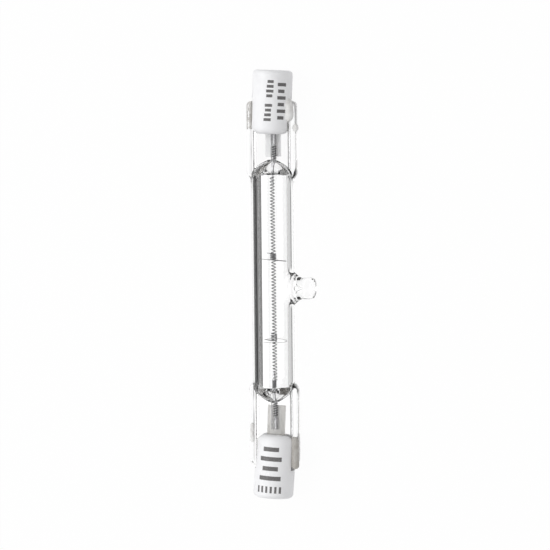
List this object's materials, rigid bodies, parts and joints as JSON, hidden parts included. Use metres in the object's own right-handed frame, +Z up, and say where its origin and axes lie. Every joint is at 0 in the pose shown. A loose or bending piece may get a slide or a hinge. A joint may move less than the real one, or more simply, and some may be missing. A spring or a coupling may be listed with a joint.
{
  "type": "linear halogen bulb",
  "caption": "Double-ended linear halogen bulb: quartz tube with pinched ends, coiled filament on wire supports, an exhaust tip and a recessed contact in each ceramic cap.",
  "frame": {"origin": "on the floor under the middle of the lamp as it lies", "axes": "+Y along the tube, +Z up, +X to the side that the exhaust tip leans on"},
  "size_m": [0.0126, 0.0784, 0.0078],
  "materials": {
    "quartz": "clear, polished",
    "steatite": "matt, dry pressed",
    "cement": "rough, dull",
    "contact_metal": "satin",
    "lead_metal": "satin",
    "tungsten": "satin, drawn wire"
  },
  "bodies": {
    "root": {"quartz_envelope": "quartz", "filament": "tungsten", "filament_support_a": "tungsten", "filament_support_b": "tungsten", "ceramic_cap_a": "steatite", "contact_a": "contact_metal", "outer_lead_a": "lead_metal", "sealing_foil_a": "lead_metal", "inner_lead_a": "lead_metal", "lead_spiral_a": "tungsten", "cement_a": "cement", "ceramic_cap_b": "steatite", "contact_b": "contact_metal", "outer_lead_b": "lead_metal", "sealing_foil_b": "lead_metal", "inner_lead_b": "lead_metal", "lead_spiral_b": "tungsten", "cement_b": "cement"}
  },
  "joints": []
}
